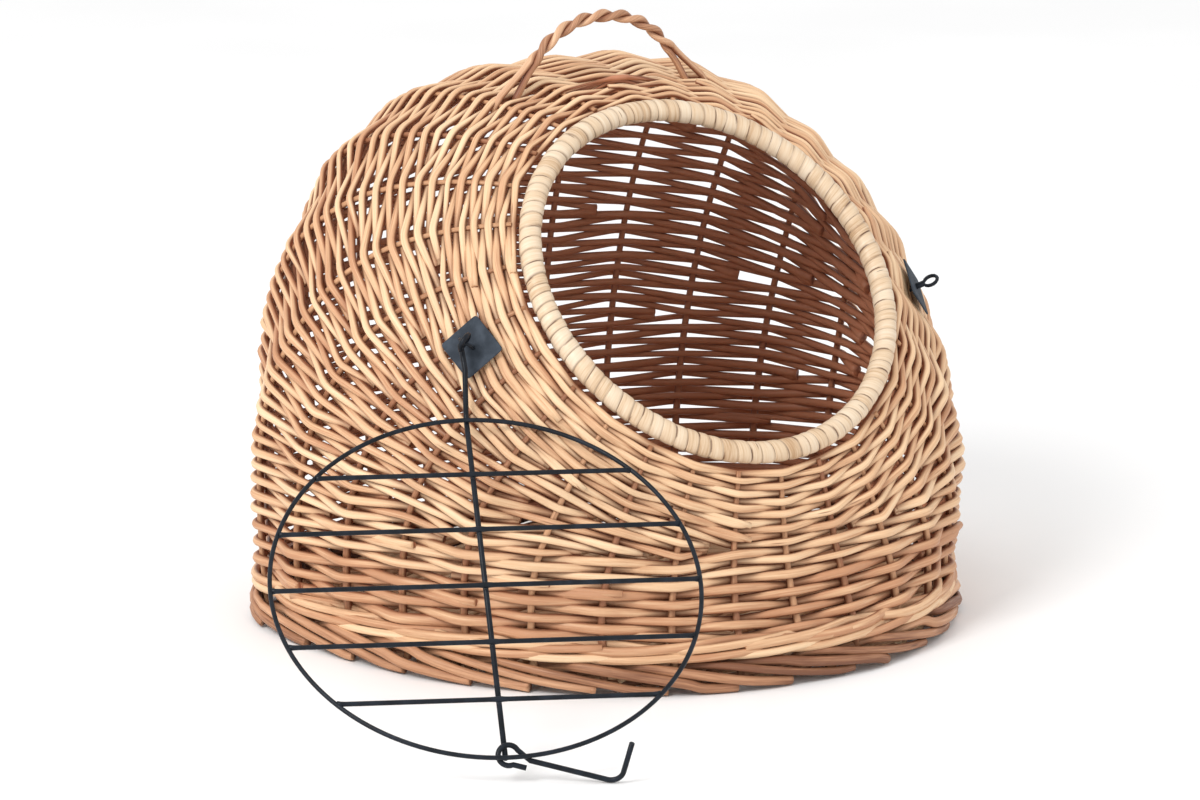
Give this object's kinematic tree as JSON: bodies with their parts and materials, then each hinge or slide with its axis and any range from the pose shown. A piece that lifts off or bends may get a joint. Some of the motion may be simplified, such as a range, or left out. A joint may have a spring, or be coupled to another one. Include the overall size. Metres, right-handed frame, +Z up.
{
  "type": "wicker pet carrier",
  "caption": "Domed willow pet carrier with a tilted round mouth, a skein-bound rim, a hinged wire door hanging open with its latch hook, and a roped carrying handle.",
  "frame": {"origin": "middle of the floor's flat underside, on the ground", "axes": "+Z up; -Y out of the basket's front, where the mouth is; +X to the right of someone who looks into the mouth"},
  "size_m": [0.6249, 0.5677, 0.4141],
  "materials": {
    "willow": "peeled willow, satin",
    "dark_willow": "darker willow, satin",
    "skein": "split willow skein, smooth",
    "coated_steel": "slate-black coated steel, semi-gloss"
  },
  "bodies": {
    "basket": {"foot_border": "dark_willow", "bottom_wale": "willow", "floor_weave": "willow", "floor_stick_1": "dark_willow", "floor_stick_2": "dark_willow", "floor_stick_3": "dark_willow", "floor_stick_4": "dark_willow", "floor_stick_5": "dark_willow", "floor_stick_6": "dark_willow", "stake_01": "dark_willow", "stake_02": "dark_willow", "stake_03": "dark_willow", "stake_04": "dark_willow", "stake_05": "dark_willow", "stake_06": "dark_willow", "stake_07": "dark_willow", "stake_08": "dark_willow", "stake_09": "dark_willow", "stake_10": "dark_willow", "stake_11": "dark_willow", "stake_12": "dark_willow", "stake_13": "dark_willow", "stake_14": "dark_willow", "stake_15": "dark_willow", "stake_16": "dark_willow", "stake_17": "dark_willow", "stake_18": "dark_willow", "stake_19": "dark_willow", "stake_20": "dark_willow", "stake_21": "dark_willow", "stake_22": "dark_willow", "stake_23": "dark_willow", "stake_24": "dark_willow", "stake_25": "dark_willow", "stake_26": "dark_willow", "stake_27": "dark_willow", "stake_28": "dark_willow", "woven_siding": "willow", "rim_hoop": "dark_willow", "rim_skein": "skein", "handle_strand_1": "willow", "handle_strand_2": "willow", "left_plate": "coated_steel", "left_eye_pin": "coated_steel", "right_plate": "coated_steel", "right_eye_pin": "coated_steel"},
    "door": {"door_ring": "coated_steel", "door_spine": "coated_steel", "cross_bar_1": "coated_steel", "cross_bar_2": "coated_steel", "cross_bar_3": "coated_steel", "cross_bar_4": "coated_steel", "cross_bar_5": "coated_steel"},
    "hook": {"latch_hook": "coated_steel"}
  },
  "joints": [
    {"name": "door_swing", "type": "hinge", "parent": "basket", "child": "door", "pos_m": [-0.18901, -0.08508, 0.2289], "axis": [-0.5754, 0.653, 0.4924], "range_deg": [0, 182.19]},
    {"name": "hook_swing", "type": "hinge", "parent": "door", "child": "hook", "pos_m": [-0.28652, -0.30133, 0.01785], "axis": [-0.3639, -0.7978, 0.4808], "range_deg": [-145, 3]}
  ]
}
